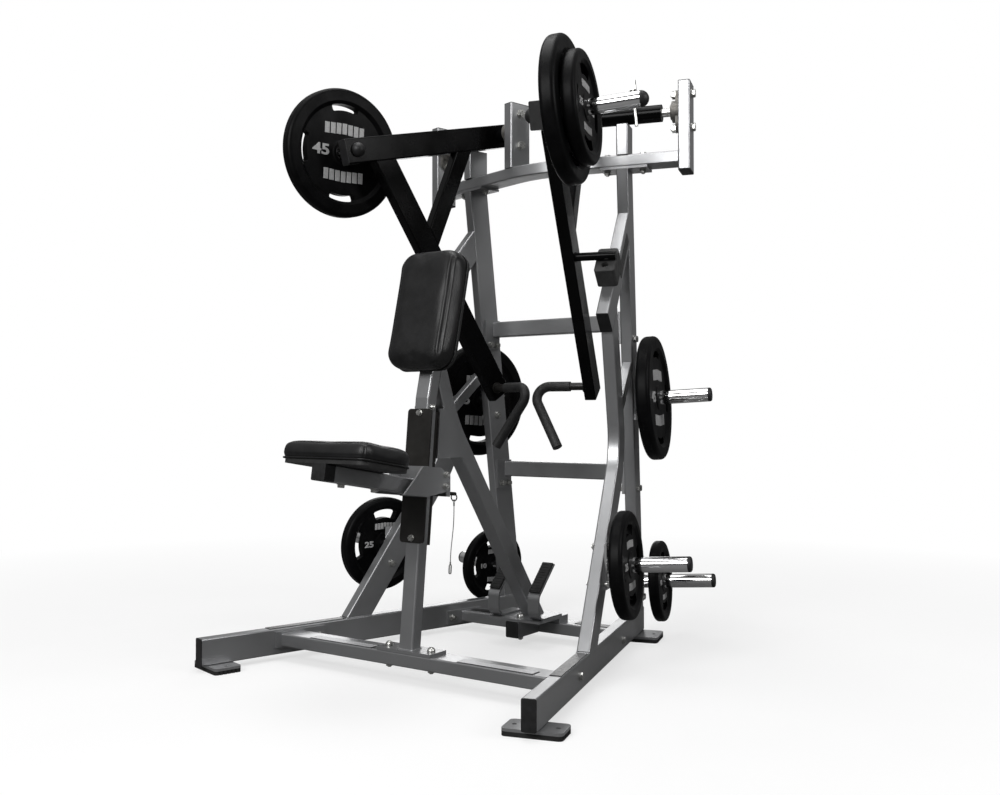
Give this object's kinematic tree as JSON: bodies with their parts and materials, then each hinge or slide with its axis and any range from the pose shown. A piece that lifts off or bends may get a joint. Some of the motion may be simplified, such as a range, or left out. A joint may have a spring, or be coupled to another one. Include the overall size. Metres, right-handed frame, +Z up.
{
  "type": "low row machine",
  "caption": "Plate-loaded low row: splayed tube frame, two independent swinging arms with bent grips and weight horns, chest pad, sliding seat, foot rests and storage horns.",
  "frame": {"origin": "on the floor, below the middle of the bounding box", "axes": "+Z up; the user sits at the -Y side and faces +Y; +X is the machine right seen from the user"},
  "size_m": [1.444, 1.5476, 2.0283],
  "materials": {
    "frame_paint": "silver-grey metallic paint, satin",
    "arm_paint": "black gloss paint",
    "black_paint": "black satin powder coat",
    "black_plastic": "black moulded plastic",
    "foot_rubber": "black ribbed rubber",
    "bumper_rubber": "dark grey rubber",
    "grip_rubber": "dark grey ribbed grip rubber",
    "plate_urethane": "matt black plate coating",
    "horn_chrome": "polished chrome",
    "zinc": "zinc-plated steel",
    "bearing_iron": "brass-grey cast bearing housings",
    "shaft_steel": "turned steel",
    "cushion_vinyl": "black grained vinyl",
    "board_black": "black backing board",
    "label_film": "dark blank film",
    "cable_wire": "steel wire"
  },
  "bodies": {
    "frame": {"base_rail_left": "frame_paint", "base_rail_right": "frame_paint", "front_cross_beam": "frame_paint", "rear_cross_beam": "frame_paint", "rear_centre_stub": "frame_paint", "foot_plates": "frame_paint", "foot_pads": "foot_rubber", "tube_end_caps": "black_plastic", "seat_post": "frame_paint", "post_guard": "black_paint", "adjustment_rack": "black_paint", "main_brace": "frame_paint", "rear_upright_left": "frame_paint", "rear_upright_right": "frame_paint", "front_leg_left": "frame_paint", "front_leg_right": "frame_paint", "side_struts": "frame_paint", "upper_crossbar": "frame_paint", "lower_crossbar": "frame_paint", "stop_arm_left": "frame_paint", "stop_arm_right": "frame_paint", "stop_bumpers": "bumper_rubber", "top_beam": "frame_paint", "beam_flange_plates": "frame_paint", "pivot_posts": "frame_paint", "flange_bearings": "bearing_iron", "frame_bolts": "zinc", "storage_horns": "horn_chrome", "stored_plates_45": "plate_urethane", "stored_plates_25": "plate_urethane", "stored_plates_10": "plate_urethane", "foot_rests": "frame_paint", "foot_rest_grips": "foot_rubber", "chest_pad": "cushion_vinyl", "chest_pad_board": "board_black", "label_plates": "label_film"},
    "arm_left": {"arm_frame_left": "arm_paint", "pivot_shaft_left": "shaft_steel", "weight_horn_left": "horn_chrome", "arm_end_caps_left": "black_plastic", "handle_left": "black_paint", "grip_left": "grip_rubber", "loaded_plate_45_left": "plate_urethane"},
    "arm_right": {"arm_frame_right": "arm_paint", "pivot_shaft_right": "shaft_steel", "weight_horn_right": "horn_chrome", "arm_end_caps_right": "black_plastic", "handle_right": "black_paint", "grip_right": "grip_rubber", "loaded_plate_45_right": "plate_urethane", "loaded_plate_25_right": "plate_urethane", "lock_pin_right": "zinc"},
    "seat": {"seat_carriage": "frame_paint", "seat_tube": "frame_paint", "seat_tube_cap": "black_plastic", "seat_board": "board_black", "seat_cushion": "cushion_vinyl"},
    "latch": {"latch_plunger": "black_paint", "lanyard_cable": "cable_wire", "lanyard_fittings": "zinc"}
  },
  "joints": [
    {"name": "arm_left_hinge", "type": "hinge", "parent": "frame", "child": "arm_left", "pos_m": [-0.3282, 0.4518, 1.908], "axis": [-0.9642, 0.2651, 0], "range_deg": [0, 35]},
    {"name": "arm_right_hinge", "type": "hinge", "parent": "frame", "child": "arm_right", "pos_m": [0.3282, 0.4518, 1.908], "axis": [-0.9642, -0.2651, 0], "range_deg": [0, 35]},
    {"name": "seat_slide", "type": "slide", "parent": "frame", "child": "seat", "axis": [0, 0.1024, 0.9947], "range_m": [-0.1, 0]},
    {"name": "latch_slide", "type": "slide", "parent": "seat", "child": "latch", "axis": [0, -0.9947, 0.1024], "range_m": [0, 0.007]}
  ]
}
